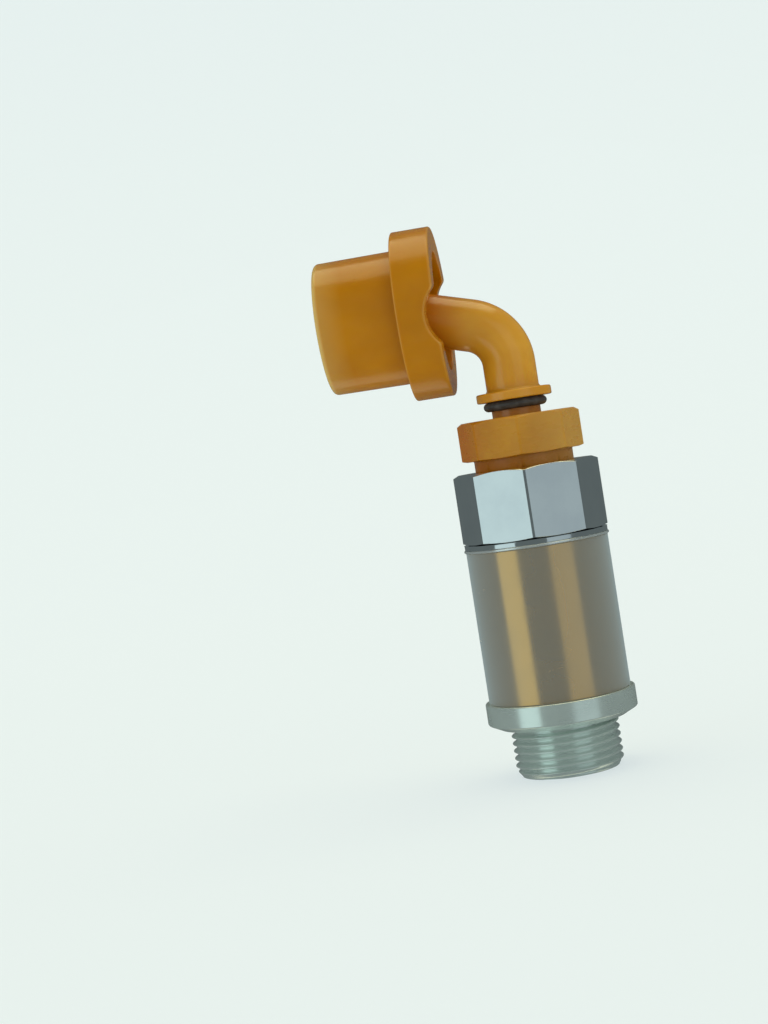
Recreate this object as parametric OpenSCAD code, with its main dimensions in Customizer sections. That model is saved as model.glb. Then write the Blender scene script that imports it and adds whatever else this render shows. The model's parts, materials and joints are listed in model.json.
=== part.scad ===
// In-line magnetic water filter with a swivel elbow and union nut.
// Millimetres. +Z runs along the filter's axis, from the outlet to the elbow. The origin is on that axis,
// on the underside of the collar, where the outlet thread ends. The elbow points towards -X.

/* [Pipe thread] */
// Outside diameter of the G 3/4 thread
thread_d = 26.44; // [26.3:0.02:26.6]
// Root diameter of the G 3/4 thread
thread_root_d = 24.12; // [24.0:0.02:24.3]
// Pitch of the G 3/4 thread, 14 turns to the inch
thread_pitch = 1.814; // [1.79:0.002:1.83]

/* [Outlet] */
// Length of the outlet below the collar
outlet_h = 12.2; // [12:0.1:16]
// Diameter of the outlet's water bore
outlet_bore_d = 19; // [16:0.5:20]
// Diameter of the collar that the sleeve stands on
collar_d = 36.7; // [36:0.1:40]
// Height of the collar
collar_h = 6.6; // [6:0.1:8]

/* [Sleeve] */
// Outside diameter of the sleeve
sleeve_d = 34.7; // [34.5:0.1:35]
// Length of the sleeve
sleeve_h = 37.2; // [37:0.2:39]
// Wall thickness of the sleeve
sleeve_wall = 1; // [0.8:0.1:1.1]

/* [Cap] */
// Width across the flats of the octagon cap
cap_af = 33; // [32.6:0.1:34]
// Height of the octagon
cap_h = 17.1; // [17:0.1:18]
// Height of the round base under the octagon
cap_base_h = 1.3; // [1:0.1:1.6]
// Turn of both octagons about the filter's axis, in degrees
octagon_turn = 2; // [-22.5:0.5:22.5]

/* [Nipple] */
// Width across the flats of the octagon nipple
nipple_af = 27.8; // [27.4:0.1:29]
// Height of the nipple's octagon
nipple_h = 9.5; // [9:0.1:11]
// Height of the round neck that shows between the cap and the nipple's octagon
neck_h = 2.8; // [2:0.1:3.5]
// Diameter of the round neck
neck_d = 24.1; // [23.6:0.1:24.6]
// Outside diameter of the thread that screws into the cap
nipple_thread_d = 25.4; // [24.6:0.1:25.6]

/* [Elbow] */
// Outside diameter of the pipe
pipe_d = 12.8; // [12.4:0.1:13.4]
// Diameter of the pipe's water bore
pipe_bore_d = 9; // [8:0.1:10]
// Radius of the bend, at the pipe's centre
bend_r = 10.8; // [10:0.1:12]
// Climb of the leg from the bend to the union nut, as rise over run
leg_slope = 0.291667; // [0.2:0.01:0.36]
// Height of the union nut's axis above the centre of the bend
nut_axis_h = 15; // [14.5:0.1:16]

/* [Union nut] */
// Diameter of the nut's flange
flange_d = 41.5; // [40:0.1:44]
// Width of the flange along the nut's axis
flange_w = 9.5; // [8:0.1:10]
// Diameter of the plain part of the nut
nut_d = 32.7; // [31.5:0.1:34]
// Length of the plain part of the nut
nut_l = 19.9; // [19:0.1:22]
// Diameter of the recess behind the flange
recess_d = 29.2; // [27:0.1:31]
// Turn of the nut's rim notches away from level, in degrees
notch_turn = 6; // [0:1:90]

/* [Magnetic core] */
// Number of disc magnets
magnet_count = 4; // [2:1:6]
// Thickness of the steel disc between two magnets
pole_h = 1.2; // [0.8:0.1:1.4]
// Outside diameter of the core's tube
core_d = 13; // [12:0.5:14]

/* [Hidden] */
$fn = 96;
eps = 0.01;
thread_r = thread_d / 2;
thread_root_r = thread_root_d / 2;
thread_gap = 0.1;              // radial gap between two threads that are screwed together
swivel_gap = 0.08;             // radial running clearance of both swivels

// Outlet body
outlet_turns = 6;
outlet_teeth_z = -outlet_h + 0.3;
barrel_r = sleeve_d / 2 - sleeve_wall - 0.2;
chamber_r = 13.5;
chamber_z = 2;
sleeve_z = collar_h;
sleeve_top = sleeve_z + sleeve_h;
clamp_ring_h = 0.6;

// Screw joint between the barrel and the cap
cap_pitch = 1.5;
cap_thread_r = 14.5;
cap_root_r = 13.75;
cap_turns = 3;
cap_z = sleeve_top + clamp_ring_h;
cap_thread_z = cap_z - 6.2;
spigot_z = cap_z - 12;
cap_bore_r = 10;

// Cap, gasket stack and nipple
octagon_z = cap_z + cap_base_h;
cap_top = octagon_z + cap_h;
socket_z = cap_top - 13.6;
rim_h = 0.8;
gasket_h = 2;
nipple_z = socket_z + rim_h + gasket_h;
nipple_thread_r = nipple_thread_d / 2;
nipple_root_r = nipple_thread_r - 1.16;
nipple_turns = 5;
nipple_teeth_z = nipple_z + 0.6;
nipple_oct_z = cap_top + neck_h;
nipple_top = nipple_oct_z + nipple_h;

// Elbow, from its lower end up
spigot_bore_r = 3.75;
tail_r = 5.45;
stem_r = 5.95;
tail_z = nipple_top - 18.8;
snap_z = tail_z + 1.8;
snap_h = 1;
ledge_z = nipple_top - 11.4;
seal_z = nipple_top - 7.4;
seal_h = 1.4;
seal_root_r = 4.65;
ring_z = nipple_top + 1.8;
ring_h = 2.3;
elbow_collar_z = ring_z + ring_h;
elbow_collar_r = 9.15;
elbow_collar_h = 2.2;
pipe_r = pipe_d / 2;
pipe_bore_r = pipe_bore_d / 2;
bend_z = elbow_collar_z + elbow_collar_h + 6.7;
turn = 90 - atan(leg_slope);
leg_to_axis = (nut_axis_h - bend_r * sin(turn)) / cos(turn);
leg_l = leg_to_axis + 0.8;
head_x = -bend_r * (1 - cos(turn)) - leg_to_axis * sin(turn) - 2.25;
nut_z = bend_z + nut_axis_h;

// Union nut, measured from the elbow head's back face towards the mouth
hub_r = 9.4;
head_r = 11.8;
head_h = 2.4;
shoulder_gap = 0.1;
shoulder_w = 3;
flange_front = -2.4;
flange_back = flange_front - flange_w;
mouth = flange_front + nut_l;
union_gasket_h = 2.5;
union_turns = 6;
union_teeth_w = head_h + union_gasket_h + 0.3;
notch_r = 9.5;
notch_depth = 2.7;

// Magnetic core
hub_top = chamber_z + 2.8;
plug_h = 1;
plug_spigot_h = 1.6;
core_z = hub_top;
core_top = spigot_z - 2.8;
tube_z = core_z + plug_h;
tube_top = core_top - plug_h;
core_r = core_d / 2;
tube_wall = 0.5;
disc_r = core_r - tube_wall - 0.05;
stack_z = tube_z + plug_spigot_h;
stack_h = tube_top - plug_spigot_h - stack_z;
magnet_h = (stack_h - (magnet_count - 1) * pole_h) / magnet_count;

// Points up the side of a screw thread, drawn as rings: root, crest, crest and root for each turn.
// The crests stay inside a cone that starts at radius start_r, so that the thread's end is chamfered.
function teeth(z, turns, pitch, root_r, crest_r, start_r = 1000) =
    [for (i = [0:turns - 1], p = [[0, root_r], [0.335, crest_r], [0.5, crest_r], [0.835, root_r]])
        let (up = (i + p[0]) * pitch)
        [min(p[1], start_r + 0.65 * up), z + up]];

// Ring with a rectangular section
module flat_ring(outer_r, inner_r, h) {
    difference() {
        cylinder(r = outer_r, h = h);
        translate([0, 0, -eps]) cylinder(r = inner_r, h = h + 2 * eps);
    }
}

// Ring with a round section that fills the space from inner_r to outer_r
module o_ring(outer_r, inner_r) {
    section_r = (outer_r - inner_r) / 2;
    translate([0, 0, section_r]) rotate_extrude()
        translate([inner_r + section_r, 0]) circle(r = section_r, $fn = 32);
}

// Octagon bar with corners turned down a little and both ends chamfered by turning
module octagon(af, h, top_chamfer, bottom_chamfer) {
    corner_r = af / 2 / cos(22.5) - 0.12;
    flat_r = af / 2 - 0.1;
    intersection() {
        rotate(octagon_turn) cylinder(r = af / 2 / cos(22.5), h = h, $fn = 8);
        rotate_extrude() polygon([
            [0, 0], [flat_r, 0], [corner_r, bottom_chamfer],
            [corner_r, h - top_chamfer], [flat_r, h], [0, h]]);
    }
}

// Places its children on the union nut's axis: their +Z points out of the nut's mouth, towards -X
module on_nut_axis() {
    translate([head_x, 0, nut_z]) rotate([0, -90, 0]) children();
}

// Turned body: outlet thread, collar and the barrel inside the sleeve
module filter_body() {
    barrel_top = sleeve_top - 0.2;
    color([0.60, 0.66, 0.64]) difference() {
        rotate_extrude() polygon(concat(
            [[0, -outlet_h], [11.9, -outlet_h]],
            teeth(outlet_teeth_z, outlet_turns, thread_pitch, thread_root_r, thread_r, 12),
            [[thread_root_r, -1], [thread_r, -0.4], [thread_r, 0],
             [collar_d / 2 - 3, 0], [collar_d / 2, 1.5],
             [collar_d / 2, collar_h - 0.35], [collar_d / 2 - 0.35, collar_h], [barrel_r, collar_h],
             [barrel_r, barrel_top - 0.3], [barrel_r - 0.3, barrel_top], [0, barrel_top]]));
        rotate_extrude() polygon(concat(
            [[0, -outlet_h - 1], [outlet_bore_d / 2, -outlet_h - 1],
             [outlet_bore_d / 2, chamber_z], [chamber_r, chamber_z], [chamber_r, cap_thread_z - 0.4]],
            teeth(cap_thread_z, cap_turns, cap_pitch, cap_root_r + thread_gap, cap_thread_r + thread_gap),
            [[cap_root_r + thread_gap, cap_z - 1.5], [cap_thread_r + thread_gap, cap_z - 1.1],
             [cap_thread_r + thread_gap, barrel_top + 1], [0, barrel_top + 1]]));
    }
}

module outer_sleeve() {
    color([0.47, 0.44, 0.37]) translate([0, 0, sleeve_z])
        flat_ring(sleeve_d / 2, sleeve_d / 2 - sleeve_wall, sleeve_h);
}

module sleeve_clamp_ring() {
    color([0.80, 0.84, 0.84]) translate([0, 0, sleeve_top])
        flat_ring(sleeve_d / 2 + 0.4, cap_thread_r + 0.4, clamp_ring_h);
}

// Octagon cap with a round base, a threaded spigot that screws into the barrel and a socket for the nipple
module inlet_cap() {
    groove_z = spigot_z + 1.4;
    color([0.74, 0.78, 0.80]) difference() {
        union() {
            translate([0, 0, octagon_z]) octagon(cap_af, cap_h, 0.65, 0.35);
            translate([0, 0, cap_z]) cylinder(r = sleeve_d / 2 + 0.15, h = cap_base_h);
            rotate_extrude() polygon(concat(
                [[0, spigot_z], [13.1, spigot_z], [13.4, spigot_z + 0.3], [13.4, groove_z],
                 [11.6, groove_z], [11.6, groove_z + 2.4], [13.4, groove_z + 2.4], [13.4, cap_thread_z]],
                teeth(cap_thread_z, cap_turns, cap_pitch, cap_root_r, cap_thread_r),
                [[cap_root_r, cap_z], [0, cap_z]]));
        }
        rotate_extrude() polygon(concat(
            [[0, spigot_z - 1], [cap_bore_r, spigot_z - 1], [cap_bore_r, socket_z],
             [nipple_thread_r + thread_gap, socket_z], [nipple_thread_r + thread_gap, nipple_teeth_z - 0.6]],
            teeth(nipple_teeth_z, nipple_turns, thread_pitch,
                  nipple_root_r + thread_gap, nipple_thread_r + thread_gap),
            [[nipple_root_r + thread_gap, cap_top - 1.4], [nipple_thread_r + 0.2, cap_top - 0.8],
             [nipple_thread_r + 0.2, cap_top - 0.3], [nipple_thread_r + 0.5, cap_top],
             [nipple_thread_r + 0.5, cap_top + 1], [0, cap_top + 1]]));
    }
}

module cap_o_ring() {
    color([0.10, 0.10, 0.11]) translate([0, 0, spigot_z + 1.6]) o_ring(13.48, 11.62);
}

// Carrier with three arms that holds one end of the core in the middle of the barrel.
// The hub stands proud of the ring towards the core and has a blind socket for the plug's stub.
module core_spider() {
    color([0.88, 0.88, 0.85]) difference() {
        union() {
            flat_ring(chamber_r - 0.1, 11, 2);
            cylinder(r = 4.5, h = 2.8);
            for (a = [90, 210, 330])
                rotate(a) translate([4, -0.8, 0]) cube([7.6, 1.6, 1.8]);
        }
        translate([0, 0, 0.6]) cylinder(r = 2.55, h = 3);
    }
}

module lower_core_spider() {
    translate([0, 0, chamber_z]) core_spider();
}

module upper_core_spider() {
    translate([0, 0, spigot_z]) mirror([0, 0, 1]) core_spider();
}

module core_tube() {
    color([0.70, 0.71, 0.72]) translate([0, 0, tube_z])
        flat_ring(core_r, core_r - tube_wall, tube_top - tube_z);
}

// End plug of the core: a stub for the spider, a flange and a spigot inside the tube
module core_plug() {
    color([0.70, 0.71, 0.72]) {
        translate([0, 0, -2]) cylinder(r = 2.5, h = 2);
        cylinder(r = core_r, h = plug_h);
        translate([0, 0, plug_h]) cylinder(r = disc_r, h = plug_spigot_h);
    }
}

module lower_core_plug() {
    translate([0, 0, core_z]) core_plug();
}

module upper_core_plug() {
    translate([0, 0, core_top]) mirror([0, 0, 1]) core_plug();
}

module magnet(i) {
    color([0.62, 0.64, 0.66]) translate([0, 0, stack_z + (i - 1) * (magnet_h + pole_h)])
        cylinder(r = disc_r, h = magnet_h);
}

module pole_piece(i) {
    color([0.40, 0.41, 0.43]) translate([0, 0, stack_z + i * magnet_h + (i - 1) * pole_h])
        cylinder(r = disc_r, h = pole_h);
}

module strainer_rim() {
    color([0.72, 0.73, 0.74]) translate([0, 0, socket_z]) flat_ring(nipple_root_r - 0.16, 8.3, rim_h);
}

// Cup with two rows of slots in its wall
module strainer_basket() {
    basket_r = 8.25;
    basket_h = 12.2;
    slot_h = 4.4;
    color([0.66, 0.67, 0.68]) translate([0, 0, socket_z + rim_h - basket_h]) difference() {
        cylinder(r = basket_r, h = basket_h);
        translate([0, 0, 0.4]) cylinder(r = basket_r - 0.4, h = basket_h);
        for (row = [0:1], a = [0:30:150])
            rotate(a + 15 * row) translate([-basket_r - 1, -0.7, 1.2 + row * (slot_h + 0.9)])
                cube([2 * basket_r + 2, 1.4, slot_h]);
    }
}

module nipple_gasket() {
    color([0.16, 0.16, 0.17]) translate([0, 0, socket_z + rim_h])
        flat_ring(nipple_root_r - 0.1, 8.5, gasket_h);
}

// Octagon nipple: screws into the cap and holds the elbow's spigot in a stepped bore
module inlet_nipple() {
    neck_r = neck_d / 2;
    color([0.71, 0.49, 0.16]) difference() {
        union() {
            translate([0, 0, nipple_oct_z]) octagon(nipple_af, nipple_h, 0.7, 0.3);
            rotate_extrude() polygon(concat(
                [[0, nipple_z], [nipple_root_r - 0.5, nipple_z]],
                teeth(nipple_teeth_z, nipple_turns, thread_pitch, nipple_root_r, nipple_thread_r),
                [[nipple_root_r, cap_top - 1.4], [neck_r, cap_top - 0.9],
                 [neck_r, nipple_oct_z], [0, nipple_oct_z]]));
        }
        rotate_extrude() polygon([
            [0, nipple_z - 1], [7.5, nipple_z - 1], [7.5, snap_z + snap_h + 0.2],
            [tail_r + swivel_gap, snap_z + snap_h + 0.2], [tail_r + swivel_gap, ledge_z - shoulder_gap],
            [stem_r + swivel_gap, ledge_z - shoulder_gap], [stem_r + swivel_gap, nipple_top - 0.4],
            [stem_r + 0.5, nipple_top], [stem_r + 0.5, nipple_top + 1], [0, nipple_top + 1]]);
    }
}

// Straight run, bend and rising leg, swept from the pipe's section
module bent_pipe() {
    run_z = elbow_collar_z + elbow_collar_h;
    translate([0, 0, run_z]) linear_extrude(bend_z - run_z) pipe_section();
    translate([-bend_r, 0, bend_z]) rotate([90, 0, 0]) {
        rotate_extrude(angle = turn) translate([bend_r, 0]) pipe_section();
        rotate(turn) translate([bend_r, 0, 0]) rotate([-90, 0, 0])
            linear_extrude(leg_l) pipe_section();
    }
}

module pipe_section() {
    difference() {
        circle(r = pipe_r);
        circle(r = pipe_bore_r);
    }
}

// Elbow: spigot with two grooves, collar, bent pipe, and hub and head inside the union nut.
// The leg ends inside the hub, whose bore runs level and opens into the leg's.
module elbow_pipe() {
    hub_h = shoulder_w + 0.5;
    collar_top = elbow_collar_z + elbow_collar_h;
    color([0.70, 0.47, 0.14]) difference() {
        union() {
            rotate_extrude() polygon([
                [spigot_bore_r, tail_z], [tail_r - 0.3, tail_z], [tail_r, tail_z + 0.3],
                [tail_r, snap_z], [4.85, snap_z], [4.85, snap_z + snap_h], [tail_r, snap_z + snap_h],
                [tail_r, ledge_z], [stem_r, ledge_z], [stem_r, seal_z], [seal_root_r, seal_z],
                [seal_root_r, seal_z + seal_h], [stem_r, seal_z + seal_h],
                [stem_r, ring_z], [tail_r, ring_z], [tail_r, elbow_collar_z],
                [elbow_collar_r - 0.25, elbow_collar_z], [elbow_collar_r, elbow_collar_z + 0.25],
                [elbow_collar_r, collar_top - 0.25], [elbow_collar_r - 0.25, collar_top],
                [pipe_bore_r, collar_top], [pipe_bore_r, elbow_collar_z], [spigot_bore_r, ring_z]]);
            bent_pipe();
            on_nut_axis() {
                translate([0, 0, -hub_h]) cylinder(r = hub_r, h = hub_h);
                cylinder(r = head_r, h = head_h);
            }
        }
        on_nut_axis() translate([0, 0, -hub_h - 0.6])
            cylinder(r = pipe_bore_r, h = hub_h + head_h + 1);
    }
}

module collar_o_ring() {
    color([0.13, 0.14, 0.16]) translate([0, 0, ring_z + 0.01])
        o_ring(tail_r + 2 * 1.14 + 0.01, tail_r + 0.01);
}

module spigot_o_ring() {
    color([0.10, 0.10, 0.11]) translate([0, 0, seal_z + 0.08]) o_ring(stem_r - 0.05, seal_root_r + 0.01);
}

// Open ring in the groove at the spigot's lower end
module spigot_snap_ring() {
    color([0.66, 0.68, 0.70]) translate([0, 0, snap_z + 0.05]) difference() {
        flat_ring(7.2, 4.87, snap_h - 0.1);
        translate([0, -2, -1]) cube([10, 4, 3]);
    }
}

module union_gasket() {
    color([0.16, 0.16, 0.17]) on_nut_axis() translate([0, 0, head_h])
        flat_ring(head_r + 0.1, 7, union_gasket_h);
}

// Union nut: flange with a recess and two rim notches, plain barrel and G 3/4 female thread
module union_nut() {
    flange_r = flange_d / 2;
    nut_r = nut_d / 2;
    recess_r = recess_d / 2;
    shoulder_front = -shoulder_gap;
    shoulder_back = shoulder_front - shoulder_w;
    color([0.66, 0.43, 0.06]) on_nut_axis() difference() {
        rotate_extrude() polygon([
            [0, flange_back], [flange_r - 0.9, flange_back], [flange_r - 0.3, flange_back + 0.3],
            [flange_r, flange_back + 0.9], [flange_r, flange_front - 0.5],
            [flange_r - 0.5, flange_front], [nut_r, flange_front], [nut_r - 0.2, mouth - 1],
            [nut_r - 0.5, mouth - 0.3], [nut_r - 1.2, mouth], [0, mouth]]);
        rotate_extrude() polygon(concat(
            [[0, flange_back - 1], [recess_r + 0.3, flange_back - 1], [recess_r + 0.3, flange_back],
             [recess_r, flange_back + 0.3], [recess_r, shoulder_back],
             [hub_r + swivel_gap, shoulder_back], [hub_r + swivel_gap, shoulder_front],
             [thread_r, shoulder_front], [thread_r, union_teeth_w - 0.6]],
            teeth(union_teeth_w, union_turns, thread_pitch, thread_root_r, thread_r),
            [[thread_root_r, mouth - 1.3], [thread_r + 0.3, mouth],
             [thread_r + 0.3, mouth + 1], [0, mouth + 1]]));
        for (side = [0, 180])
            rotate(side - notch_turn) translate([0, -recess_r + 2, flange_back - notch_r + notch_depth])
                rotate([90, 0, 0]) cylinder(r = notch_r, h = flange_r);
    }
}

filter_body();
outer_sleeve();
sleeve_clamp_ring();
inlet_cap();
cap_o_ring();
lower_core_spider();
upper_core_spider();
core_tube();
lower_core_plug();
upper_core_plug();
for (i = [1:magnet_count])
    magnet(i);
for (i = [1:magnet_count - 1])
    pole_piece(i);
strainer_rim();
strainer_basket();
nipple_gasket();
inlet_nipple();
elbow_pipe();
collar_o_ring();
spigot_o_ring();
spigot_snap_ring();
union_gasket();
union_nut();
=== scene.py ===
"""Looks for the in-line magnetic water filter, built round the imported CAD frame.

Blender works in metres and +Z runs along the filter's axis. Outlines are in millimetres, as (radius, height)
points, and MM turns them into metres. Places come from the frame, and the sizes of details are named values.
"""

import cmath
import json
import math

import bmesh
import bpy
import numpy as np
from mathutils import Matrix, Vector


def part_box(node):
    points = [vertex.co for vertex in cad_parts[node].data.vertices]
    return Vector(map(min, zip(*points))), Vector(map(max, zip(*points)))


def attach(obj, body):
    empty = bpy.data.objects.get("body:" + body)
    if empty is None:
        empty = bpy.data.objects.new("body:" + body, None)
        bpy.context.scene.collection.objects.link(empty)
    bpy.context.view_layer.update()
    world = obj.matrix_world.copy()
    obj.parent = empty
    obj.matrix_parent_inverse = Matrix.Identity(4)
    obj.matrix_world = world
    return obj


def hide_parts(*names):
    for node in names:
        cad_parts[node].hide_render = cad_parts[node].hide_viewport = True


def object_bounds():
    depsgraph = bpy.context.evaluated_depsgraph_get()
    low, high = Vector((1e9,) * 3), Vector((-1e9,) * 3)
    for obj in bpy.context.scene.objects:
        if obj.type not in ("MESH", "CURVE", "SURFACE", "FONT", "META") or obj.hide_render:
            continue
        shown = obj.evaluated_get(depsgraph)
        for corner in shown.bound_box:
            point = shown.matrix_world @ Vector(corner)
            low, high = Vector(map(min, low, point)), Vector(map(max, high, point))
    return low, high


MM = 0.001
SEGMENTS = 256                  # round a turned piece
NUT_SEGMENTS = 384              # round the union nut, which has notches
PIPE_SEGMENTS = 96              # round the pipe
SMOOTH_ANGLE = 62               # degrees: a crease steeper than this stays sharp

# Threads, in millimetres
THREAD_R = 13.22                # crest radius of G 3/4
THREAD_PITCH = 1.814
THREAD_DEPTH = 1.16
NIPPLE_THREAD_R = 12.7
CAP_THREAD_R = 14.5
CAP_PITCH = 1.5
CAP_THREAD_DEPTH = 0.75
THREAD_GAP = 0.1                # between two threads that are screwed together

# Filter body
OUTLET_BORE_R = 9.5
OUTLET_LIP_R = 11.9             # where the outlet's end face meets its chamfer
CHAMBER_R = 13.5
CHAMBER_Z = 2
BARREL_INSET = 1.2              # from the sleeve's outside to the barrel's
COUNTERBORE = 6.6               # depth of the barrel's threaded end below the cap

# Octagon cap and nipple
CAP_AF = 33
CAP_BASE_H = 1.3                # round base under the octagon
CAP_SHAPED_R = 17.6             # points further out than this are moved on to the octagon
CAP_BORE_R = 10
CAP_ROOT_R = 13.75
SPIGOT_R = 13.4
SEAL_GROOVE_R = 11.6
SEAL_GROOVE_H = 2.4
NIPPLE_AF = 27.8
NIPPLE_H = 9.5
NIPPLE_SHAPED_R = 13.5
NIPPLE_BORE_R = 7.5
NECK_R = 12.05
OCTAGON_TURN = 2                # degrees
CORNER_TURNED = 0.12            # how much the turned outside takes off the corners

# Elbow
PIPE_R = 6.4
PIPE_BORE_R = 4.5
SPIGOT_BORE_R = 3.75
STEM_R = 5.95
TAIL_R = 5.45
SNAP_GROOVE_R = 4.85
SNAP_H = 1
O_RING_GROOVE_R = 4.65
O_RING_GROOVE_H = 1.4
SWIVEL_GAP = 0.08
ELBOW_COLLAR_R = 9.15
ELBOW_COLLAR_H = 2.2
BEND_R = 10.8
BEND_ANGLE = math.atan2(24, 7)  # the leg climbs 7 in 24
BEND_DROP = 15                  # from the union nut's axis down to the bend's centre
HUB_R = 9.4
HUB_L = 3.5
HEAD_R = 11.8
HEAD_H = 2.4
WASHER_BORE_R = 7
WASHER_R = 11.9
WASHER_H = 2.5

# Union nut, measured along its axis from the elbow head's back face
SHOULDER_FRONT = -0.1
SHOULDER_BACK = -3.1
FLANGE_FRONT = -2.4
NUT_R = 16.35
NUT_TAPER = 0.15                # how much narrower the nut is at its mouth
NUT_THREAD_START = 5
RECESS_R = 14.6
NOTCH_R = 9.5
NOTCH_DEPTH = 2.7
NOTCH_TURN = 6                  # degrees

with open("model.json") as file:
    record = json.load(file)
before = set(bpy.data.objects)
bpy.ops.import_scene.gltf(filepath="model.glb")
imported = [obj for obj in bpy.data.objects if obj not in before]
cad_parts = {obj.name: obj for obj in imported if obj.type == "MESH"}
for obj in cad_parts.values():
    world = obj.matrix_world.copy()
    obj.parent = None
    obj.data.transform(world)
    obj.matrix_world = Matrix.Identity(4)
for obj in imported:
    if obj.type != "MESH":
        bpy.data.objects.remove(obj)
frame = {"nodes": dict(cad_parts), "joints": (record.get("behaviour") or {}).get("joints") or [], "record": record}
cad_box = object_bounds()


# Places, in millimetres, from the frame

def low(node):
    """Lowest corner of a node's box."""
    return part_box(node)[0] / MM


def high(node):
    """Highest corner of a node's box."""
    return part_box(node)[1] / MM


joints = {joint["name"]: joint for joint in frame["joints"]}
nut_seat = Vector(joints["union_nut_spin"]["pos_m"])
ON_AXIS = Matrix.Scale(MM, 4)
ON_NUT = Matrix.Translation(nut_seat) @ Matrix.Rotation(math.radians(-90), 4, "Y") @ Matrix.Scale(MM, 4)

outlet_z = low("filter_body").z
collar_r = high("filter_body").x
sleeve_z = low("outer_sleeve").z
sleeve_top = high("outer_sleeve").z
sleeve_r = high("outer_sleeve").x
cap_z = high("sleeve_clamp_ring").z
spigot_z = low("inlet_cap").z
cap_top = high("inlet_cap").z
octagon_z = cap_z + CAP_BASE_H
socket_z = low("strainer_rim").z
nipple_z = low("inlet_nipple").z
nipple_top = high("inlet_nipple").z
nipple_octagon_z = nipple_top - NIPPLE_H
tail_z = low("elbow_pipe").z
ring_z = low("collar_o_ring").z
elbow_collar_z = high("collar_o_ring").z + 0.01
flange_back = (nut_seat.x / MM) - high("union_nut").x
mouth = (nut_seat.x / MM) - low("union_nut").x
flange_r = (high("union_nut").z - low("union_nut").z) / 2


# Mesh building

def rounded(points, steps=5):
    """A closed outline from (r, z) or (r, z, radius) points: a corner with a radius becomes an arc."""
    outline = []
    for i, point in enumerate(points):
        here = complex(point[0], point[1])
        if len(point) < 3 or not point[2]:
            outline.append((here.real, here.imag))
            continue
        before = complex(*points[i - 1][:2]) - here
        after = complex(*points[(i + 1) % len(points)][:2]) - here
        half = abs(cmath.phase(after / before)) / 2
        reach = min(point[2] / math.tan(half), 0.45 * abs(before), 0.45 * abs(after))
        start = here + before / abs(before) * reach
        end = here + after / abs(after) * reach
        middle = before / abs(before) + after / abs(after)
        centre = here + middle / abs(middle) * reach / math.cos(half)
        turn = cmath.phase((end - centre) / (start - centre))
        for step in range(steps + 1):
            corner = centre + (start - centre) * cmath.exp(1j * turn * step / steps)
            outline.append((corner.real, corner.imag))
    return outline


def rows(radius, start, end, step):
    """Points up a straight wall, close enough for a thread or an octagon to be shaped on them."""
    count = max(2, round(abs(end - start) / step))
    return [(radius, start + (end - start) * i / count) for i in range(count + 1)]


def mark_edges(mesh):
    """Stores how sharp each point is, as the attribute edge: 0.5 on a flat wall, and more on an outside edge.
    The painted edge highlights of the materials read it."""
    places = np.empty(3 * len(mesh.vertices), dtype=np.float32)
    normals = np.empty_like(places)
    ends = np.empty(2 * len(mesh.edges), dtype=np.int32)
    mesh.vertices.foreach_get("co", places)
    mesh.vertices.foreach_get("normal", normals)
    mesh.edges.foreach_get("vertices", ends)
    places = places.reshape(-1, 3)
    normals = normals.reshape(-1, 3)
    ends = ends.reshape(-1, 2)
    start = np.concatenate([ends[:, 0], ends[:, 1]])
    end = np.concatenate([ends[:, 1], ends[:, 0]])
    way = places[end] - places[start]
    way /= np.linalg.norm(way, axis=1, keepdims=True)
    neighbours = np.bincount(start, minlength=len(places))
    rise = np.bincount(start, (way * normals[start]).sum(axis=1), len(places)) / neighbours
    sharpness = np.arccos(np.clip(rise, -1, 1)) / np.pi
    softened = (np.bincount(start, sharpness[end], len(places)) + sharpness) / (neighbours + 1)
    mesh.attributes.new("edge", "FLOAT", "POINT").data.foreach_set("value", softened.astype(np.float32))


def piece(name, mesh, node, body):
    """Shows the mesh in place of a CAD node, with that node's material, on a body."""
    for polygon in mesh.polygons:
        polygon.use_smooth = True
    mesh.set_sharp_from_angle(angle=math.radians(SMOOTH_ANGLE))
    mark_edges(mesh)
    shown_piece = bpy.data.objects.new(name, mesh)
    bpy.context.scene.collection.objects.link(shown_piece)
    mesh.materials.clear()
    mesh.materials.append(MATERIALS[slot_of[node]])
    normals = shown_piece.modifiers.new("face_normals", "WEIGHTED_NORMAL")
    normals.keep_sharp = True
    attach(shown_piece, body)
    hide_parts(node)


def turned(name, outline, angles=None, shape=None, place=ON_AXIS):
    """A closed mesh turned from a closed outline. shape(angle, r, z) may move each point."""
    if angles is None:
        angles = [2 * math.pi * i / SEGMENTS for i in range(SEGMENTS)]
    points = []
    for angle in angles:
        for r, z in outline:
            if shape:
                r, z = shape(angle, r, z)
            points.append(place @ Vector((r * math.cos(angle), r * math.sin(angle), z)))
    count = len(outline)
    faces = []
    for i in range(len(angles)):
        this, following = i * count, (i + 1) % len(angles) * count
        for j in range(count):
            k = (j + 1) % count
            faces.append((this + j, following + j, following + k, this + k))
    return closed_mesh(name, points, faces)


def closed_mesh(name, points, faces):
    """A mesh whose faces all look outwards."""
    mesh = bpy.data.meshes.new(name)
    mesh.from_pydata(points, [], faces)
    work = bmesh.new()
    work.from_mesh(mesh)
    bmesh.ops.recalc_face_normals(work, faces=work.faces)
    work.to_mesh(mesh)
    work.free()
    return mesh


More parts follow.
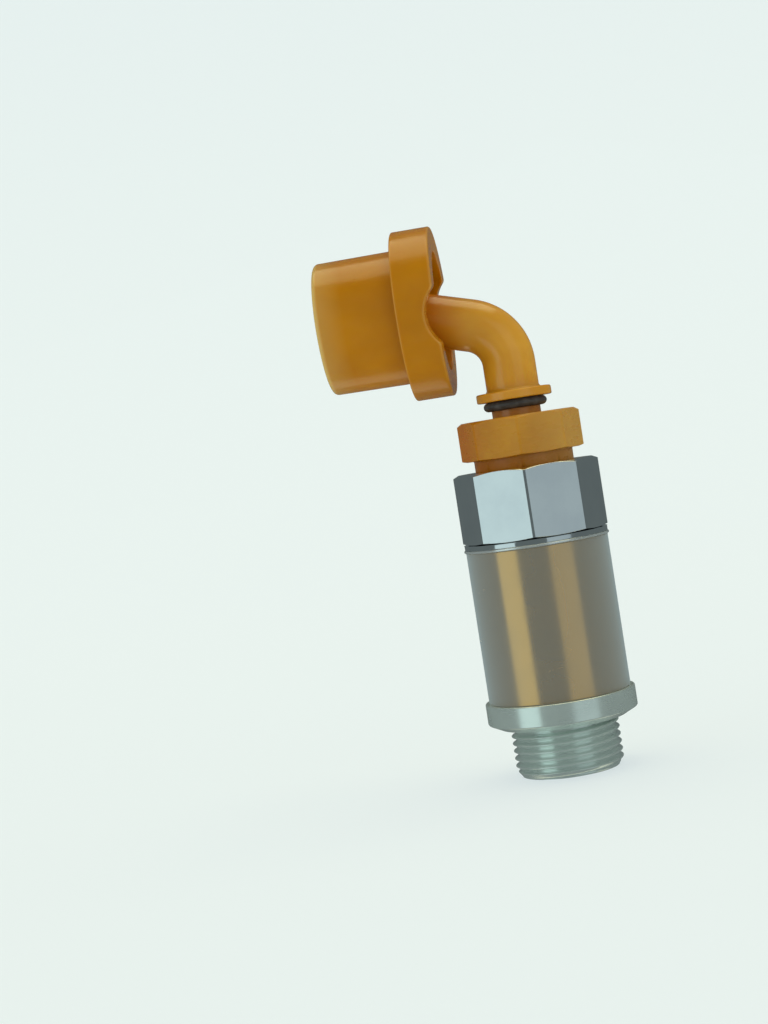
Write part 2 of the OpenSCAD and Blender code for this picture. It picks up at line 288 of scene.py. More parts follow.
def swept(name, stations, place=ON_AXIS):
    """A closed solid through round sections: each station is (centre, direction, radius), in the XZ plane."""
    across = Vector((0, 1, 0))
    points = []
    for centre, direction, radius in stations:
        side = across.cross(direction)
        for i in range(PIPE_SEGMENTS):
            angle = 2 * math.pi * i / PIPE_SEGMENTS
            points.append(place @ (centre + radius * (math.cos(angle) * side + math.sin(angle) * across)))
    faces = [tuple(range(PIPE_SEGMENTS))]
    for row in range(len(stations) - 1):
        for i in range(PIPE_SEGMENTS):
            j = (i + 1) % PIPE_SEGMENTS
            base, above = row * PIPE_SEGMENTS, (row + 1) * PIPE_SEGMENTS
            faces.append((base + i, base + j, above + j, above + i))
    last = (len(stations) - 1) * PIPE_SEGMENTS
    faces.append(tuple(last + i for i in reversed(range(PIPE_SEGMENTS))))
    return closed_mesh(name, points, faces)


def combined(name, base, steps):
    """The base mesh after a list of (operation, mesh) booleans."""
    helpers = []
    body = bpy.data.objects.new(name, base)
    bpy.context.scene.collection.objects.link(body)
    for operation, mesh in steps:
        tool = bpy.data.objects.new(mesh.name, mesh)
        bpy.context.scene.collection.objects.link(tool)
        helpers.append(tool)
        cut = body.modifiers.new(mesh.name, "BOOLEAN")
        cut.operation = operation
        cut.solver = "EXACT"
        cut.object = tool
    bpy.context.view_layer.update()
    result = bpy.data.meshes.new_from_object(body.evaluated_get(bpy.context.evaluated_depsgraph_get()))
    for helper in [body, *helpers]:
        bpy.data.objects.remove(helper)
    return result


def smooth_step(x):
    """Rises smoothly from 0 to 1 as x does."""
    x = min(max(x, 0), 1)
    return x * x * (3 - 2 * x)


def soft_min(a, b, radius):
    """The smaller of a and b, with the crease between them rounded over."""
    blend = max(radius - abs(a - b), 0) / radius
    return min(a, b) - blend * blend * radius / 4


def tooth(angle, z, start, end, pitch):
    """Height of a right-handed thread, from 0 at its root to 1 at its crest. Its flanks are straight, its
    crests and roots are rounded, and it fades over half a pitch at its ends."""
    rounding = 0.3
    along = (z - start) / pitch
    left = (end - z) / pitch
    phase = (along - angle / (2 * math.pi)) % 1
    flank = 1.5 * (1 - abs(2 * phase - 1)) - 0.25
    height = -soft_min(-soft_min(flank, 1, rounding), 0, rounding)
    return height * smooth_step(2 * along) * smooth_step(2 * left)


def octagon_radius(angle, across_flats, corner=0.7):
    """Distance from the axis to the side of an octagon whose corners have a small radius."""
    sector = math.pi / 4
    turn = (angle - math.radians(OCTAGON_TURN)) % sector
    from_face = abs(turn - sector / 2)
    apothem = across_flats / 2
    if apothem * math.tan(from_face) <= (apothem - corner) * math.tan(sector / 2):
        return apothem / math.cos(from_face)
    from_corner = sector / 2 - from_face
    centre = (apothem - corner) / math.cos(sector / 2)
    return centre * math.cos(from_corner) + math.sqrt(corner ** 2 - (centre * math.sin(from_corner)) ** 2)


def octagon_angles(flat_steps=16, corner_steps=10, corner_width=2.2):
    """Angles round an octagon, close together at its corners."""
    angles = []
    for side in range(8):
        corner = math.radians(OCTAGON_TURN + 45 * side)
        half = math.radians(corner_width)
        angles += [corner - half + 2 * half * i / corner_steps for i in range(corner_steps)]
        flat = math.radians(45) - 2 * half
        angles += [corner + half + flat * i / flat_steps for i in range(flat_steps)]
    return angles


def octagon_wall(radius, bottom, top):
    """Points up an octagon's side, close together where its ends are chamfered."""
    return [*rows(radius, bottom, bottom + 0.8, 0.05), *rows(radius, bottom + 1.2, top - 1.6, 1.2),
            *rows(radius, top - 1.3, top, 0.05)]


def octagon_outside(angle, z, across_flats, bottom, top, bottom_chamfer, top_chamfer):
    """Radius of an octagon bar whose two ends are turned to a chamfer."""
    corner_r = across_flats / 2 / math.cos(math.pi / 8) - CORNER_TURNED
    flat_r = across_flats / 2 - 0.1
    slope_top = (corner_r - flat_r) / top_chamfer
    slope_bottom = (corner_r - flat_r) / bottom_chamfer
    cone = min(flat_r + slope_top * (top - z), flat_r + slope_bottom * (z - bottom))
    bar = soft_min(octagon_radius(angle, across_flats), corner_r, 0.06)
    return soft_min(bar, cone, 0.12)


# Materials

def shader(name):
    """A new material, with its nodes and links."""
    material = bpy.data.materials.new(name)
    material.use_nodes = True
    return material, material.node_tree.nodes, material.node_tree.links


def noise(nodes, links, coordinates, size, stretch=(1, 1, 1), detail=4.0):
    """Noise over the object's own coordinates. size is its grain in millimetres."""
    mapping = nodes.new("ShaderNodeMapping")
    mapping.inputs["Scale"].default_value = stretch
    links.new(coordinates.outputs["Object"], mapping.inputs["Vector"])
    texture = nodes.new("ShaderNodeTexNoise")
    texture.inputs["Scale"].default_value = 1 / (size * MM)
    texture.inputs["Detail"].default_value = detail
    links.new(mapping.outputs["Vector"], texture.inputs["Vector"])
    return texture.outputs["Fac"]


def spread(nodes, links, source, from_low, from_high, to_low, to_high):
    """Maps a value from one range to another."""
    node = nodes.new("ShaderNodeMapRange")
    sockets = {"From Min": from_low, "From Max": from_high, "To Min": to_low, "To Max": to_high}
    for socket, value in sockets.items():
        node.inputs[socket].default_value = value
    links.new(source, node.inputs["Value"])
    return node.outputs["Result"]


def mixed(nodes, links, factor, colour_a, colour_b):
    """A colour between two, by a factor."""
    node = nodes.new("ShaderNodeMix")
    node.data_type = "RGBA"
    links.new(factor, node.inputs["Factor"])
    for socket, colour in ((node.inputs[6], colour_a), (node.inputs[7], colour_b)):
        if isinstance(colour, tuple):
            socket.default_value = (*colour, 1)
        else:
            links.new(colour, socket)
    return node.outputs[2]


def bumps(nodes, links, layers):
    """Bump nodes in a row, from (height socket, depth in millimetres) layers."""
    normal = None
    for height, depth in layers:
        bump = nodes.new("ShaderNodeBump")
        bump.inputs["Strength"].default_value = 1
        bump.inputs["Distance"].default_value = depth * MM
        links.new(height, bump.inputs["Height"])
        if normal:
            links.new(normal, bump.inputs["Normal"])
        normal = bump.outputs["Normal"]
    return normal


def edge_mask(nodes, links, start=0.505, end=0.56):
    """1 along outside edges and 0 on flat and round walls."""
    sharpness = nodes.new("ShaderNodeAttribute")
    sharpness.attribute_name = "edge"
    return spread(nodes, links, sharpness.outputs["Fac"], start, end, 0, 1)


def metal(name, colour, dull_colour, roughness, grain, grain_depth, stretch=(1, 1, 1), metallic=1.0,
          haze=0.0, edge=None):
    """Plated or bare metal with tool marks, smudges and fine scratches. roughness is (clean, smudged), grain
    and its depth are in millimetres, haze is a pale film, and edge is a lighter colour painted on outside edges as
    a highlight."""
    material, nodes, links = shader(name)
    surface = nodes["Principled BSDF"]
    surface.inputs["Metallic"].default_value = metallic
    surface.inputs["Sheen Weight"].default_value = haze
    surface.inputs["Sheen Roughness"].default_value = 0.9
    surface.inputs["Sheen Tint"].default_value = (0.70, 0.89, 1.0, 1)
    coordinates = nodes.new("ShaderNodeTexCoord")
    smudge = spread(nodes, links, noise(nodes, links, coordinates, 9, detail=6), 0.4, 0.68, 0, 1)
    marks = noise(nodes, links, coordinates, grain, stretch, detail=3)
    scratches = noise(nodes, links, coordinates, 3, (1, 1, 12), detail=5)
    tone = mixed(nodes, links, smudge, colour, dull_colour)
    if edge:
        # Painted highlight: outside edges are tinted towards the lighter edge colour.
        edge_highlight_share = nodes.new("ShaderNodeMath")
        edge_highlight_share.operation = "MULTIPLY"
        edge_highlight_share.inputs[1].default_value = 0.4
        links.new(edge_mask(nodes, links), edge_highlight_share.inputs[0])
        tone = mixed(nodes, links, edge_highlight_share.outputs[0], tone, edge)
    links.new(tone, surface.inputs["Base Color"])
    gloss = nodes.new("ShaderNodeMath")
    gloss.operation = "ADD"
    links.new(spread(nodes, links, smudge, 0, 1, roughness[0], roughness[1]), gloss.inputs[0])
    links.new(spread(nodes, links, marks, 0.3, 0.7, -0.03, 0.05), gloss.inputs[1])
    links.new(gloss.outputs[0], surface.inputs["Roughness"])
    layers = [(marks, grain_depth), (scratches, grain_depth * 0.4)]
    links.new(bumps(nodes, links, layers), surface.inputs["Normal"])
    return material


def amber(name, colour, deep_colour, gradients, edge=None, roughness=(0.15, 0.26), shine=0.5):
    """Slightly cloudy moulded plastic, with flow clouds and a fine moulded texture. edge is a colour painted on
    its edges as a highlight. A gradient is (axis, full, none, strength, colour) of painted light or shade:
    the tint has its strength at full and beyond, and fades to nothing at none. Both are places along that
    axis, in millimetres."""
    material, nodes, links = shader(name)
    surface = nodes["Principled BSDF"]
    surface.inputs["Subsurface Weight"].default_value = 0.3
    surface.inputs["Subsurface Radius"].default_value = (1.0, 0.45, 0.1)
    surface.inputs["Subsurface Scale"].default_value = 2.2 * MM
    surface.inputs["IOR"].default_value = 1.6
    surface.inputs["Specular IOR Level"].default_value = shine
    coordinates = nodes.new("ShaderNodeTexCoord")
    clouds = spread(nodes, links, noise(nodes, links, coordinates, 14, detail=3), 0.35, 0.68, 0, 1)
    specks = noise(nodes, links, coordinates, 0.55, detail=2)
    flow = noise(nodes, links, coordinates, 5, (1, 1, 3), detail=5)
    tone = mixed(nodes, links, clouds, colour, deep_colour)
    place = nodes.new("ShaderNodeSeparateXYZ")
    links.new(coordinates.outputs["Object"], place.inputs[0])
    # Painted light and shade: each gradient tints the plastic lighter or darker towards one end or side.
    for axis, full, none, strength, tint in gradients:
        share = spread(nodes, links, place.outputs[axis], full * MM, none * MM, strength, 0)
        tone = mixed(nodes, links, share, tone, tint)
    # Painted highlight: the edge colour tints outside edges.
    if edge:
        tone = mixed(nodes, links, edge_mask(nodes, links, 0.51, 0.62), tone, edge)
    links.new(tone, surface.inputs["Base Color"])
    links.new(spread(nodes, links, flow, 0.3, 0.7, *roughness), surface.inputs["Roughness"])
    links.new(bumps(nodes, links, [(specks, 0.006), (flow, 0.04)]), surface.inputs["Normal"])
    return material


def rubber(name, colour, dust_colour):
    """Matt rubber with a little dust."""
    material, nodes, links = shader(name)
    surface = nodes["Principled BSDF"]
    coordinates = nodes.new("ShaderNodeTexCoord")
    dust = spread(nodes, links, noise(nodes, links, coordinates, 1.6, detail=6), 0.45, 0.75, 0, 1)
    grain = noise(nodes, links, coordinates, 0.3, detail=2)
    links.new(mixed(nodes, links, dust, colour, dust_colour), surface.inputs["Base Color"])
    links.new(spread(nodes, links, dust, 0, 1, 0.42, 0.6), surface.inputs["Roughness"])
    links.new(bumps(nodes, links, [(grain, 0.012)]), surface.inputs["Normal"])
    return material


def moulded(name, colour, shade_colour):
    """Opaque engineering plastic."""
    material, nodes, links = shader(name)
    surface = nodes["Principled BSDF"]
    surface.inputs["Subsurface Weight"].default_value = 0.15
    surface.inputs["Subsurface Radius"].default_value = (1, 1, 0.9)
    surface.inputs["Subsurface Scale"].default_value = 1.2 * MM
    coordinates = nodes.new("ShaderNodeTexCoord")
    clouds = spread(nodes, links, noise(nodes, links, coordinates, 6), 0.35, 0.7, 0, 1)
    grain = noise(nodes, links, coordinates, 0.4, detail=2)
    links.new(mixed(nodes, links, clouds, colour, shade_colour), surface.inputs["Base Color"])
    links.new(spread(nodes, links, grain, 0.3, 0.7, 0.38, 0.5), surface.inputs["Roughness"])
    links.new(bumps(nodes, links, [(grain, 0.01)]), surface.inputs["Normal"])
    return material


RINGS = (0.02, 0.02, 1)         # stretches a grain into fine rings round the filter's axis

# Amber tints: painted light on rims, edges and lit sides, painted shade in recesses and on shaded sides, and
# painted shade where the elbow meets the nut
PAINTED_LIGHT_AMBER = (0.66, 0.47, 0.16)
PAINTED_SHADE_AMBER = (0.40, 0.115, 0.004)
ROOT_SHADE_AMBER = (0.55, 0.15, 0.004)

mouth_x = low("union_nut").x
flange_x = high("union_nut").x
MATERIALS = {
    # The plated body's edge colour is a painted highlight on its edges and thread crests.
    "plated_body": metal("plated_body", (0.74, 0.83, 0.78), (0.66, 0.74, 0.70), (0.18, 0.26),
                         0.15, 0.001, RINGS, 0.75, edge=(0.90, 0.96, 0.92)),
    "cap_chrome": metal("cap_chrome", (0.82, 0.86, 0.88), (0.76, 0.80, 0.83), (0.06, 0.13),
                        0.3, 0.0012, (1, 1, 0.2)),
    "ring_steel": metal("ring_steel", (0.82, 0.85, 0.84), (0.74, 0.77, 0.76), (0.16, 0.26),
                        0.15, 0.001, RINGS, 0.8),
    "sleeve_metal": metal("sleeve_metal", (0.67, 0.36, 0.07), (0.62, 0.345, 0.08), (0.17, 0.23),
                          0.14, 0.0006, RINGS, 1.0, haze=0.46),
    "stainless": metal("stainless", (0.70, 0.71, 0.72), (0.62, 0.63, 0.65), (0.22, 0.32),
                       0.05, 0.003, RINGS),
    "magnet_plating": metal("magnet_plating", (0.66, 0.68, 0.70), (0.60, 0.61, 0.62), (0.12, 0.22),
                            0.3, 0.002),
    "pole_steel": metal("pole_steel", (0.40, 0.41, 0.43), (0.34, 0.34, 0.35), (0.34, 0.44),
                        0.06, 0.004),
    # Painted highlight: the nut is tinted paler towards its mouth and along its edges.
    "nut_amber": amber(
        "nut_amber", (0.49, 0.182, 0.0003), (0.42, 0.150, 0.0002),
        [("X", mouth_x, mouth_x + 7, 0.3, PAINTED_LIGHT_AMBER), ("X", mouth_x, mouth_x + 1.3, 0.8, PAINTED_LIGHT_AMBER)],
        edge=PAINTED_LIGHT_AMBER, shine=0.3),
    # Painted shade: the elbow is tinted darker where it meets the nut's flange and below the O-ring, between the
    # nipple and the collar.
    "elbow_amber": amber(
        "elbow_amber", (0.67, 0.31, 0.024), (0.56, 0.235, 0.012),
        [("X", flange_x - 2, flange_x + 6, 0.85, ROOT_SHADE_AMBER),
         ("Z", ring_z + 0.6, ring_z + 1.6, 0.8, PAINTED_SHADE_AMBER)]),
    # Painted shade under the octagon and on the -X side, and painted light on the +X side.
    "nipple_amber": amber(
        "nipple_amber", (0.50, 0.215, 0.006), (0.41, 0.155, 0.002),
        [("Z", nipple_octagon_z, nipple_octagon_z + 0.4, 0.8, PAINTED_SHADE_AMBER),
         ("X", -13, -8, 0.95, PAINTED_SHADE_AMBER),
         ("X", 12, -3, 0.22, PAINTED_LIGHT_AMBER)],
        roughness=(0.24, 0.34), shine=0.28),
    "black_rubber": rubber("black_rubber", (0.044, 0.041, 0.038), (0.10, 0.095, 0.09)),
    "gasket_rubber": rubber("gasket_rubber", (0.03, 0.03, 0.033), (0.08, 0.08, 0.085)),
    "white_acetal": moulded("white_acetal", (0.80, 0.80, 0.76), (0.72, 0.72, 0.68)),
}

slot_of = {part["node"]: part["material_slot"] for part in frame["record"]["subparts"]}
for node, shown in frame["nodes"].items():
    for material_slot in shown.material_slots:
        material_slot.material = MATERIALS[slot_of[node]]


# Filter body: outlet thread, collar and barrel

def body_shape(angle, r, z):
    """Cuts the outlet's thread into its outside wall."""
    if z >= -0.4 or r < THREAD_R - 0.01:
        return r, z
    height = tooth(angle, z, outlet_z - 0.9, -0.2, THREAD_PITCH)
    chamfer = 12 + 0.75 * (z - outlet_z - 0.25)
    return soft_min(THREAD_R - THREAD_DEPTH * (1 - height), chamfer, 0.15), z


barrel_r = sleeve_r - BARREL_INSET
barrel_top = sleeve_top - 0.2
counterbore_r = CAP_THREAD_R + THREAD_GAP
counterbore_z = cap_z - COUNTERBORE
outline = rounded([
    (OUTLET_BORE_R, outlet_z, 0.35), (OUTLET_LIP_R, outlet_z, 0.1),
    *rows(THREAD_R, outlet_z + 0.1, -0.1, 0.06),
    (THREAD_R, 0), (collar_r - 3, 0, 0.4), (collar_r, 1.5, 0.5), (collar_r, sleeve_z, 0.4),
    (barrel_r, sleeve_z), (barrel_r, barrel_top, 0.3), (counterbore_r, barrel_top, 0.2),
    (counterbore_r, counterbore_z), (CHAMBER_R, counterbore_z - 0.8),
    (CHAMBER_R, CHAMBER_Z, 0.3), (OUTLET_BORE_R, CHAMBER_Z, 0.3)])
piece("body_shell", turned("body_shell", outline, shape=body_shape), "filter_body", "filter")

# Sleeve and the bright ring above it
sleeve_bore_r = sleeve_r - 1
outline = rounded([
    (sleeve_bore_r, sleeve_z), (sleeve_r, sleeve_z, 0.25),
    (sleeve_r, sleeve_top, 0.25), (sleeve_bore_r, sleeve_top)])
piece("sleeve_shell", turned("sleeve_shell", outline), "outer_sleeve", "filter")

ring_r = high("sleeve_clamp_ring").x
ring_bore_r = CAP_THREAD_R + 0.4
outline = rounded([
    (ring_bore_r, sleeve_top), (ring_r, sleeve_top, 0.22), (ring_r, cap_z, 0.22), (ring_bore_r, cap_z)])
piece("bright_ring", turned("bright_ring", outline), "sleeve_clamp_ring", "filter")


# Octagon cap

cap_teeth_z = cap_z - 6.2
cap_teeth_top = cap_z - 1.2


def cap_shape(angle, r, z):
    """Makes the octagon and the thread on the spigot."""
    if r > CAP_SHAPED_R:
        return octagon_outside(angle, z, CAP_AF, octagon_z, cap_top, 0.35, 0.65), z
    if r == CAP_THREAD_R:
        height = tooth(angle, z, cap_teeth_z, cap_teeth_top, CAP_PITCH)
        return CAP_THREAD_R - CAP_THREAD_DEPTH * (1 - height), z
    return r, z


groove_z = spigot_z + 1.4
groove_top = groove_z + SEAL_GROOVE_H
base_r = sleeve_r + 0.15
socket_r = NIPPLE_THREAD_R + THREAD_GAP
outline = rounded([
    (CAP_BORE_R, spigot_z, 0.3), (SPIGOT_R, spigot_z, 0.3), (SPIGOT_R, groove_z, 0.1),
    (SEAL_GROOVE_R, groove_z, 0.15), (SEAL_GROOVE_R, groove_top, 0.15),
    (SPIGOT_R, groove_top, 0.1), (SPIGOT_R, cap_teeth_z - 0.1),
    *rows(CAP_THREAD_R, cap_teeth_z, cap_teeth_top, 0.1),
    (CAP_ROOT_R, cap_teeth_top + 0.1), (CAP_ROOT_R, cap_z),
    (base_r, cap_z, 0.2), (base_r, octagon_z - 0.06, 0.35),
    *octagon_wall(18, octagon_z, cap_top),
    (socket_r + 0.4, cap_top, 0.15), (socket_r, cap_top - 0.4), (socket_r, socket_z, 0.2),
    (CAP_BORE_R, socket_z, 0.3)])
piece("octagon_cap", turned("octagon_cap", outline, octagon_angles(), cap_shape), "inlet_cap", "filter")


# Octagon nipple

nipple_teeth_z = nipple_z + 0.3
nipple_teeth_top = cap_top - 1.2


def nipple_shape(angle, r, z):
    """Makes the octagon and the thread below it."""
    if r > NIPPLE_SHAPED_R:
        return octagon_outside(angle, z, NIPPLE_AF, nipple_octagon_z, nipple_top, 0.3, 0.7), z
    if r == NIPPLE_THREAD_R:
        height = tooth(angle, z, nipple_teeth_z, nipple_teeth_top, THREAD_PITCH)
        return NIPPLE_THREAD_R - THREAD_DEPTH * (1 - height), z
    return r, z


ledge_z = nipple_top - 11.5
snap_top = tail_z + 3
stem_bore_r = STEM_R + SWIVEL_GAP
tail_bore_r = TAIL_R + SWIVEL_GAP
outline = rounded([
    (NIPPLE_BORE_R, nipple_z, 0.3), (NIPPLE_THREAD_R - 1.7, nipple_z, 0.2),
    *rows(NIPPLE_THREAD_R, nipple_teeth_z, nipple_teeth_top, 0.1),
    (NECK_R, nipple_teeth_top + 0.3), (NECK_R, nipple_octagon_z, 0.3),
    *octagon_wall(14, nipple_octagon_z, nipple_top),
    (STEM_R + 0.5, nipple_top, 0.1), (stem_bore_r, nipple_top - 0.4), (stem_bore_r, ledge_z, 0.1),
    (tail_bore_r, ledge_z, 0.1), (tail_bore_r, snap_top, 0.1), (NIPPLE_BORE_R, snap_top, 0.2)])
nipple = turned("octagon_nipple", outline, octagon_angles(), nipple_shape)
piece("octagon_nipple", nipple, "inlet_nipple", "filter")


# Elbow: spigot and collar, bend and leg, then hub and head inside the union nut

nut_axis_z = nut_seat.z / MM
bend_z = nut_axis_z - BEND_DROP
UP = Vector((0, 0, 1))


def route(start_z, radius, overrun, bend_steps=28):
    """Stations from start_z up the axis, round the bend and along the leg into the hub."""
    centre = Vector((-BEND_R, 0, bend_z))
    stations = [(Vector((0, 0, start_z)), UP, radius)]
    for i in range(bend_steps + 1):
        angle = BEND_ANGLE * i / bend_steps
        outward = Vector((math.cos(angle), 0, math.sin(angle)))
        direction = Vector((-math.sin(angle), 0, math.cos(angle)))
        stations.append((centre + BEND_R * outward, direction, radius))
    last, direction, radius = stations[-1]
    to_axis = (nut_axis_z - last.z) / direction.z
    stations.append((last + direction * (to_axis + overrun), direction, radius))
    return stations


def straight(points):
    """Stations up the local axis from (radius, height) points."""
    return [(Vector((0, 0, z)), UP, r) for r, z in points]


snap_z = tail_z + 1.8
step_z = ledge_z + 0.1
seal_z = nipple_top - 7.4
seal_top = seal_z + O_RING_GROOVE_H
elbow_collar_top = elbow_collar_z + ELBOW_COLLAR_H
lower = rounded([
    (0, tail_z), (TAIL_R, tail_z, 0.3), (TAIL_R, snap_z, 0.05), (SNAP_GROOVE_R, snap_z),
    (SNAP_GROOVE_R, snap_z + SNAP_H), (TAIL_R, snap_z + SNAP_H, 0.05), (TAIL_R, step_z),
    (STEM_R, step_z, 0.1), (STEM_R, seal_z, 0.08), (O_RING_GROOVE_R, seal_z), (O_RING_GROOVE_R, seal_top),
    (STEM_R, seal_top, 0.08), (STEM_R, ring_z, 0.1), (TAIL_R, ring_z), (TAIL_R, elbow_collar_z, 0.1),
    (ELBOW_COLLAR_R, elbow_collar_z, 0.35), (ELBOW_COLLAR_R, elbow_collar_top, 0.45),
    (PIPE_R, elbow_collar_top, 0.8), (PIPE_R, bend_z), (0, bend_z)])
lower = [point for point in lower if point[0] > 0 and point[1] < bend_z]
outside = swept("elbow", straight(lower) + route(elbow_collar_top + 1.5, PIPE_R, 0.8))
head = rounded([
    (0, -HUB_L), (HUB_R, -HUB_L, 0.3), (HUB_R, 0), (HEAD_R, 0, 0.2), (HEAD_R, HEAD_H, 0.4), (0, HEAD_H)])
hub = swept("hub", straight(head[1:-1]), ON_NUT)
spigot_bore = [(SPIGOT_BORE_R, tail_z - 1), (SPIGOT_BORE_R, ring_z), (PIPE_BORE_R, elbow_collar_z)]
bore = swept("bore", straight(spigot_bore) + route(elbow_collar_top, PIPE_BORE_R, 0.6))
hub_bore = swept("hub_bore", straight([(PIPE_BORE_R, -HUB_L - 0.6), (PIPE_BORE_R, HEAD_H + 1)]), ON_NUT)
elbow = combined("elbow_body", outside, [("UNION", hub), ("DIFFERENCE", bore), ("DIFFERENCE", hub_bore)])
piece("elbow_body", elbow, "elbow_pipe", "elbow")


# Union nut

wall_back = flange_back + 1.2
wall_front = FLANGE_FRONT - 0.9


def nut_shape(angle, r, w):
    """Cuts the thread into the nut's bore and the two notches into the rim of its flange."""
    if r == THREAD_R:
        height = tooth(angle, w, NUT_THREAD_START, mouth - 0.6, THREAD_PITCH)
        return THREAD_R - THREAD_DEPTH * height, w
    if w < FLANGE_FRONT and r > RECESS_R - 0.2:
        from_notch = (angle + math.radians(90 + NOTCH_TURN)) % math.pi
        across = r * math.sin(from_notch)
        if abs(across) < NOTCH_R:
            floor = NOTCH_DEPTH - NOTCH_R + math.sqrt(NOTCH_R ** 2 - across ** 2)
            depth = -soft_min(-floor, 0, 0.5)
            share = 1 - smooth_step((w - wall_back) / (wall_front - wall_back))
            return r, w + max(depth, 0) * share
    return r, w


hole_r = HUB_R + SWIVEL_GAP
outline = rounded([
    (RECESS_R, flange_back, 0.35), *[(r / 10, flange_back) for r in range(150, 199, 7)],
    (flange_r, flange_back, 0.9), *rows(flange_r, wall_back, wall_front, 0.5),
    (flange_r, FLANGE_FRONT, 0.6), (NUT_R, FLANGE_FRONT, 0.5), (NUT_R - NUT_TAPER, mouth, 1.1),
    (THREAD_R + 0.3, mouth, 0.25), (THREAD_R - 0.01, mouth - 0.6),
    *rows(THREAD_R, mouth - 0.7, NUT_THREAD_START, 0.09), (THREAD_R - 0.005, SHOULDER_FRONT, 0.2),
    (hole_r, SHOULDER_FRONT, 0.15), (hole_r, SHOULDER_BACK, 0.3), (RECESS_R, SHOULDER_BACK, 0.6),
    *rows(RECESS_R, SHOULDER_BACK - 1, flange_back + 0.7, 0.5)])
nut_angles = [2 * math.pi * i / NUT_SEGMENTS for i in range(NUT_SEGMENTS)]
nut = turned("union_nut_body", outline, nut_angles, nut_shape, ON_NUT)
piece("union_nut_body", nut, "union_nut", "union_nut")

# Washer in the union nut
washer_front = HEAD_H + WASHER_H
outline = rounded([
    (WASHER_BORE_R, HEAD_H, 0.3), (WASHER_R, HEAD_H, 0.3),
    (WASHER_R, washer_front, 0.3), (WASHER_BORE_R, washer_front, 0.3)])
piece("union_washer", turned("union_washer", outline, place=ON_NUT), "union_gasket", "elbow")


# O-ring between the nipple and the elbow's collar, with the trimmed flash of its mould

def ring_outline(inner_r, outer_r, z, steps=32, flash=0.03):
    """A round section with a low ridge of flash at its inside and its outside."""
    radius = (outer_r - inner_r) / 2 - flash
    points = []
    for i in range(steps):
        angle = 2 * math.pi * i / steps
        bulge = flash * max(0, abs(math.cos(angle)) * 12 - 11)
        across = (radius + bulge) * math.cos(angle)
        points.append((inner_r + radius + flash + across, z + radius * math.sin(angle)))
    return points


o_ring_low, o_ring_high = low("collar_o_ring"), high("collar_o_ring")
outline = ring_outline(TAIL_R + 0.01, o_ring_high.x, (o_ring_low.z + o_ring_high.z) / 2)
piece("collar_ring", turned("collar_ring", outline), "collar_o_ring", "elbow")


# Stage, lights and camera

FLOOR_GAP = 0.00002             # keeps the outlet's end face clear of the floor
BOWL_R = 1.5
BOWL_BEND = 0.6
BOWL_H = 2.0
BOWL_RINGS = (0.0005, 0.03, 0.1, 0.3, BOWL_R - BOWL_BEND)
centre = (cad_box[0] + cad_box[1]) / 2
floor_z = cad_box[0].z - FLOOR_GAP


def stage_bowl():
    """Pale floor that curves up into a wall all round. It gives soft light, but nothing mirrors it."""
    profile = [(radius, 0) for radius in BOWL_RINGS]
    steps = 16
    for i in range(1, steps + 1):
        angle = math.radians(90) * i / steps
        profile.append((BOWL_R - BOWL_BEND + BOWL_BEND * math.sin(angle), BOWL_BEND * (1 - math.cos(angle))))
    profile.append((BOWL_R, BOWL_H))
    turns = 96
    points = []
    for i in range(turns):
        angle = 2 * math.pi * i / turns
        points += [(r * math.cos(angle), r * math.sin(angle), floor_z + z) for r, z in profile]
    faces = []
    for i in range(turns):
        this, following = i * len(profile), (i + 1) % turns * len(profile)
        for j in range(len(profile) - 1):
            faces.append((this + j, following + j, following + j + 1, this + j + 1))
    faces.append(tuple(i * len(profile) for i in range(turns)))
    mesh = bpy.data.meshes.new("bowl")
    mesh.from_pydata(points, [], faces)
    for polygon in mesh.polygons:
        polygon.use_smooth = True
    bowl = bpy.data.objects.new("bowl", mesh)
    bpy.context.scene.collection.objects.link(bowl)
    material, nodes, links = shader("pale_stage")
    surface = nodes["Principled BSDF"]
    surface.inputs["Base Color"].default_value = (0.28, 0.30, 0.30, 1)
    surface.inputs["Roughness"].default_value = 0.9
    surface.inputs["Specular IOR Level"].default_value = 0
    surface.inputs["Emission Color"].default_value = (0.90, 0.98, 1.0, 1)
    surface.inputs["Emission Strength"].default_value = 0.60
    mesh.materials.append(material)
    bowl.visible_shadow = False
    bowl.visible_glossy = False
    bowl.visible_transmission = False


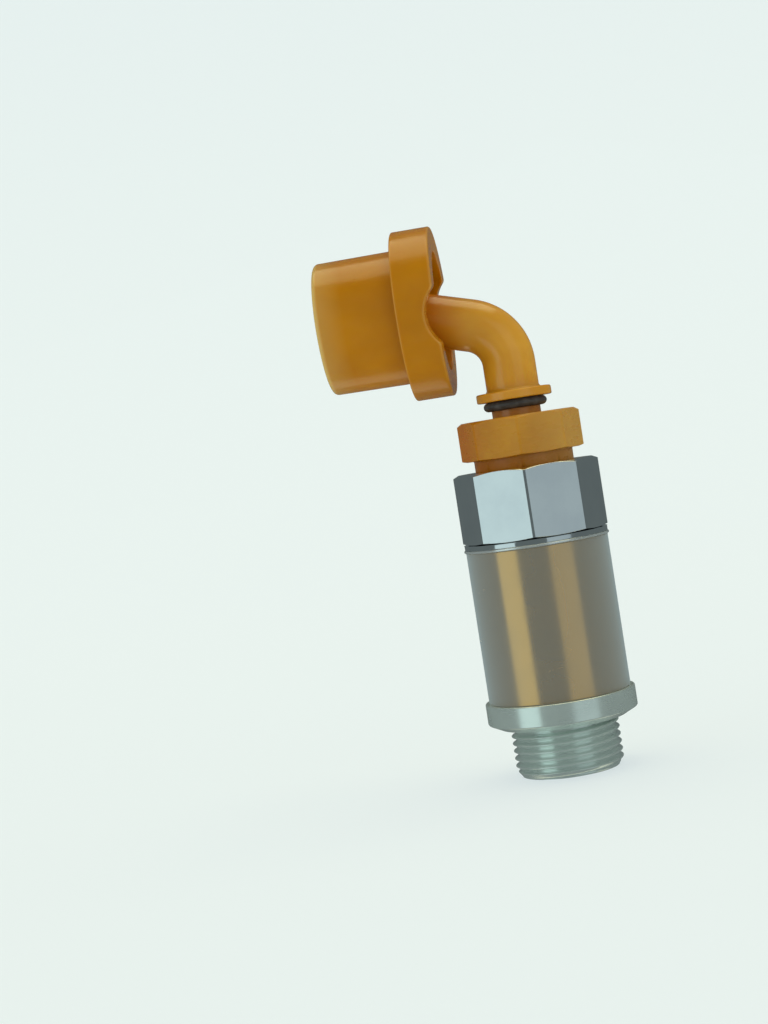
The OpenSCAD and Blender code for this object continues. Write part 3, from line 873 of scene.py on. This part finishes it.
def soft_box(name, azimuth, elevation, distance, width, height, radiance, colour):
    """Rectangular light that faces the object. Azimuth 0 is in front, and positive is towards +X."""
    light = bpy.data.lights.new(name, "AREA")
    light.shape = "RECTANGLE"
    light.size = width
    light.size_y = height
    light.energy = radiance * math.pi * width * height
    light.color = colour
    lamp = bpy.data.objects.new(name, light)
    bpy.context.scene.collection.objects.link(lamp)
    a, e = math.radians(azimuth), math.radians(elevation)
    away = Vector((math.sin(a) * math.cos(e), -math.cos(a) * math.cos(e), math.sin(e)))
    lamp.location = centre + distance * away
    lamp.rotation_mode = "QUATERNION"
    lamp.rotation_quaternion = away.to_track_quat("Z", "Y")
    lamp.visible_camera = False


stage_bowl()
# Name, azimuth, elevation, distance, width, height, radiance and colour
soft_box("left_box", -49, 3, 2.0, 1.29, 3.0, 0.60, (0.80, 1.0, 1.0))
soft_box("right_box", 40, 3, 2.0, 1.48, 3.0, 0.31, (0.80, 0.95, 1.0))
soft_box("top_box", 0, 101, 2.4, 2.8, 1.9, 1.9, (1.0, 0.93, 0.56))
soft_box("low_box", 0, -118, 2.4, 2.8, 1.0, 0.8, (1.0, 0.95, 0.70))

world = bpy.data.worlds.new("studio")
world.use_nodes = True
world.node_tree.nodes["Background"].inputs["Color"].default_value = (0.82, 0.98, 0.97, 1)
world.node_tree.nodes["Background"].inputs["Strength"].default_value = 0.14
bpy.context.scene.world = world
bpy.context.scene.view_settings.view_transform = "Standard"

CAMERA_PLACE = (0.025, -0.475, 0.0696)
CAMERA_PAN = -7.303             # degrees, left of the object's front
CAMERA_TILT = -1.53
CAMERA_ROLL = -8.865            # the filter leans to the left in the picture
CAMERA_LENS = 68.53

lens = bpy.data.cameras.new("camera")
lens.lens = CAMERA_LENS
lens.sensor_width = 36
lens.clip_start = 0.01
camera = bpy.data.objects.new("camera", lens)
bpy.context.scene.collection.objects.link(camera)
bpy.context.scene.camera = camera
pan, tilt = math.radians(CAMERA_PAN), math.radians(CAMERA_TILT)
forward = Vector((math.sin(pan) * math.cos(tilt), math.cos(pan) * math.cos(tilt), math.sin(tilt)))
camera.location = CAMERA_PLACE
camera.rotation_mode = "QUATERNION"
camera.rotation_quaternion = forward.to_track_quat("-Z", "Y") @ Matrix.Rotation(
    math.radians(CAMERA_ROLL), 4, "Z").to_quaternion()
